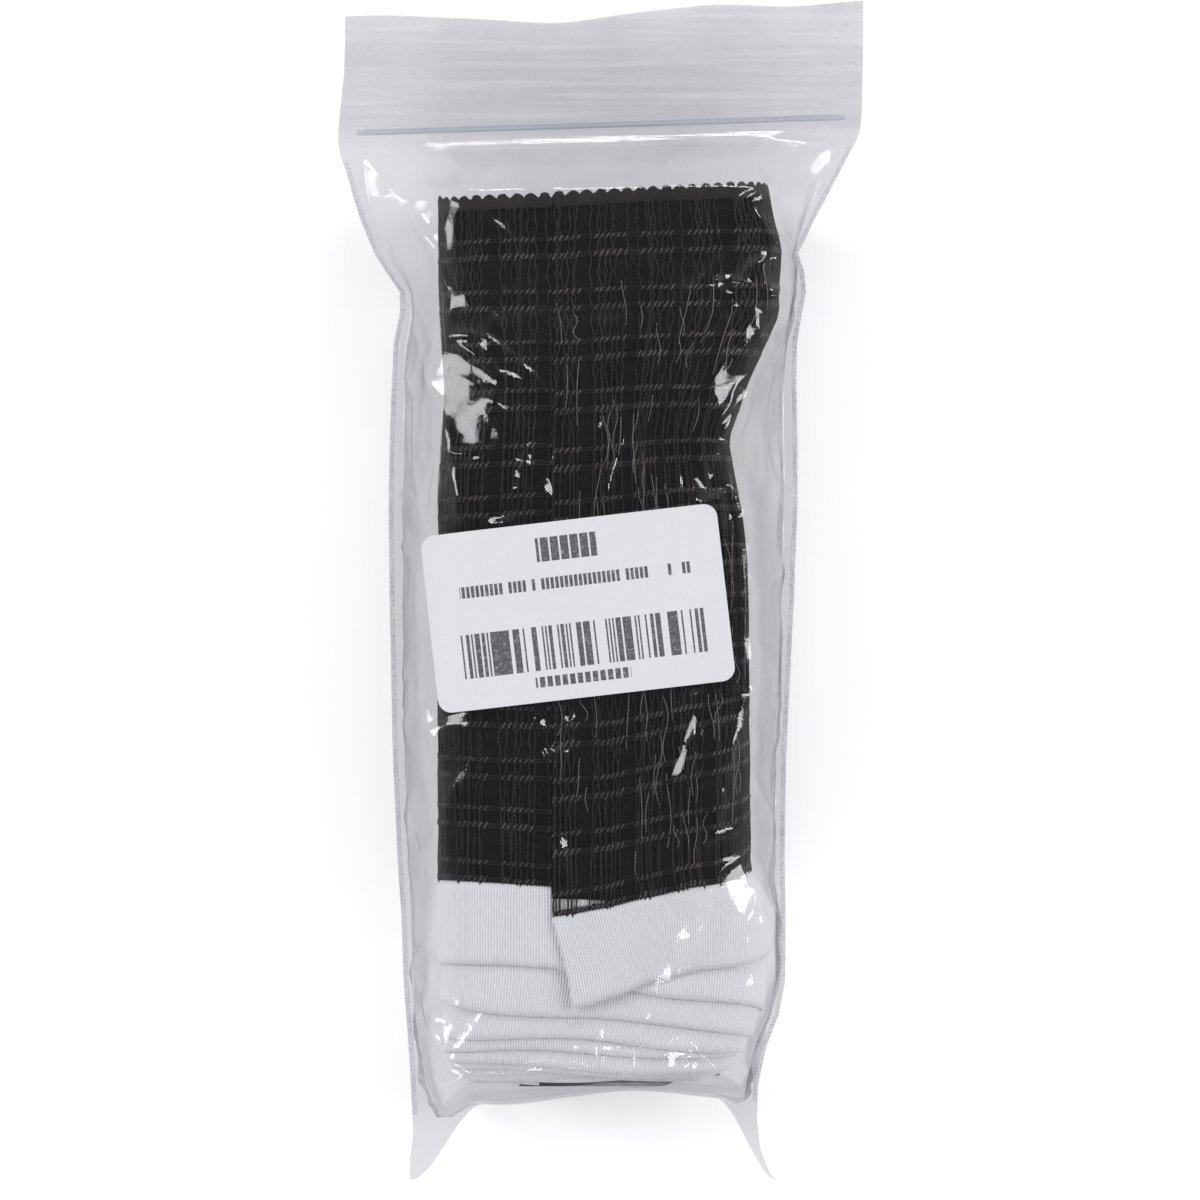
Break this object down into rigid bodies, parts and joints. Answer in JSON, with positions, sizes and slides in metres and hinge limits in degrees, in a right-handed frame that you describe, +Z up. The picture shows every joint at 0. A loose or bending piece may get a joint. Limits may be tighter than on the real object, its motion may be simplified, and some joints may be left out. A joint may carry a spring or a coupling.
{
  "type": "table tennis net and post set",
  "caption": "Table tennis net wound flat round its post rods and clamps, packed in a clear press-seal bag with a paper label.",
  "frame": {"origin": "centre of the pack's footprint, on the plane it lies on", "axes": "+X across the pack, +Y along it towards the bag's mouth, +Z up through the labelled front"},
  "size_m": [0.1021, 0.2317, 0.039],
  "materials": {
    "film": "clear, glossy",
    "net_yarn": "knitted",
    "headband": "woven, fine ribs",
    "label_paper": "matte",
    "painted_steel": "powder coat",
    "plated_steel": "bright zinc plate",
    "moulded_plastic": "fine texture",
    "rubber": "matte"
  },
  "bodies": {
    "pack": {"net_mesh": "net_yarn", "net_headband": "headband", "net_scalloped_hem": "net_yarn", "bag_front_wall": "film", "bag_back_wall": "film", "bag_right_seal": "film", "bag_left_seal": "film", "label": "label_paper", "post_rod_left": "painted_steel", "post_rod_right": "painted_steel", "post_cap_left": "moulded_plastic", "post_cap_right": "moulded_plastic", "post_nut_left": "plated_steel", "post_nut_right": "plated_steel", "clamp_a_frame": "painted_steel", "clamp_a_table_pad": "rubber", "clamp_a_weld_nut": "plated_steel", "clamp_b_frame": "painted_steel", "clamp_b_table_pad": "rubber", "clamp_b_weld_nut": "plated_steel"},
    "front_lip": {"bag_front_lip": "film", "seal_track_rib": "film"},
    "back_lip": {"bag_back_lip": "film", "seal_track_groove": "film"},
    "clamp_a_pad": {"clamp_a_swivel_pad": "plated_steel"},
    "clamp_a_turner": {"clamp_a_screw": "plated_steel", "clamp_a_knob": "moulded_plastic"},
    "clamp_b_pad": {"clamp_b_swivel_pad": "plated_steel"},
    "clamp_b_turner": {"clamp_b_screw": "plated_steel", "clamp_b_knob": "moulded_plastic"}
  },
  "joints": [
    {"name": "front_lip_open", "type": "hinge", "parent": "pack", "child": "front_lip", "pos_m": [0.0004, 0.0886, 0.01945], "axis": [0.9995, 0.0323, 0], "range_deg": [0, 35], "stiffness_Nm_per_rad": 0.002},
    {"name": "back_lip_open", "type": "hinge", "parent": "pack", "child": "back_lip", "pos_m": [0.0004, 0.0886, 0.01945], "axis": [0.9995, 0.0323, 0], "range_deg": [-35, 0], "stiffness_Nm_per_rad": 0.002},
    {"name": "clamp_a_travel", "type": "slide", "parent": "pack", "child": "clamp_a_pad", "axis": [0, -1, 0], "range_m": [0, 0.016]},
    {"name": "clamp_a_turn", "type": "hinge", "parent": "clamp_a_pad", "child": "clamp_a_turner", "pos_m": [-0.0055, -0.0683, 0.01945], "axis": [0, -1, 0], "range_deg": [0, 5761]},
    {"name": "clamp_b_travel", "type": "slide", "parent": "pack", "child": "clamp_b_pad", "axis": [0, 1, 0], "range_m": [0, 0.016]},
    {"name": "clamp_b_turn", "type": "hinge", "parent": "clamp_b_pad", "child": "clamp_b_turner", "pos_m": [0.0055, 0.0253, 0.01945], "axis": [0, 1, 0], "range_deg": [0, 5761]}
  ],
  "couplings": [
    {"joint": "clamp_a_turn", "follows": "clamp_a_travel", "rad_per_m": 6283.2},
    {"joint": "clamp_b_turn", "follows": "clamp_b_travel", "rad_per_m": 6283.2}
  ]
}
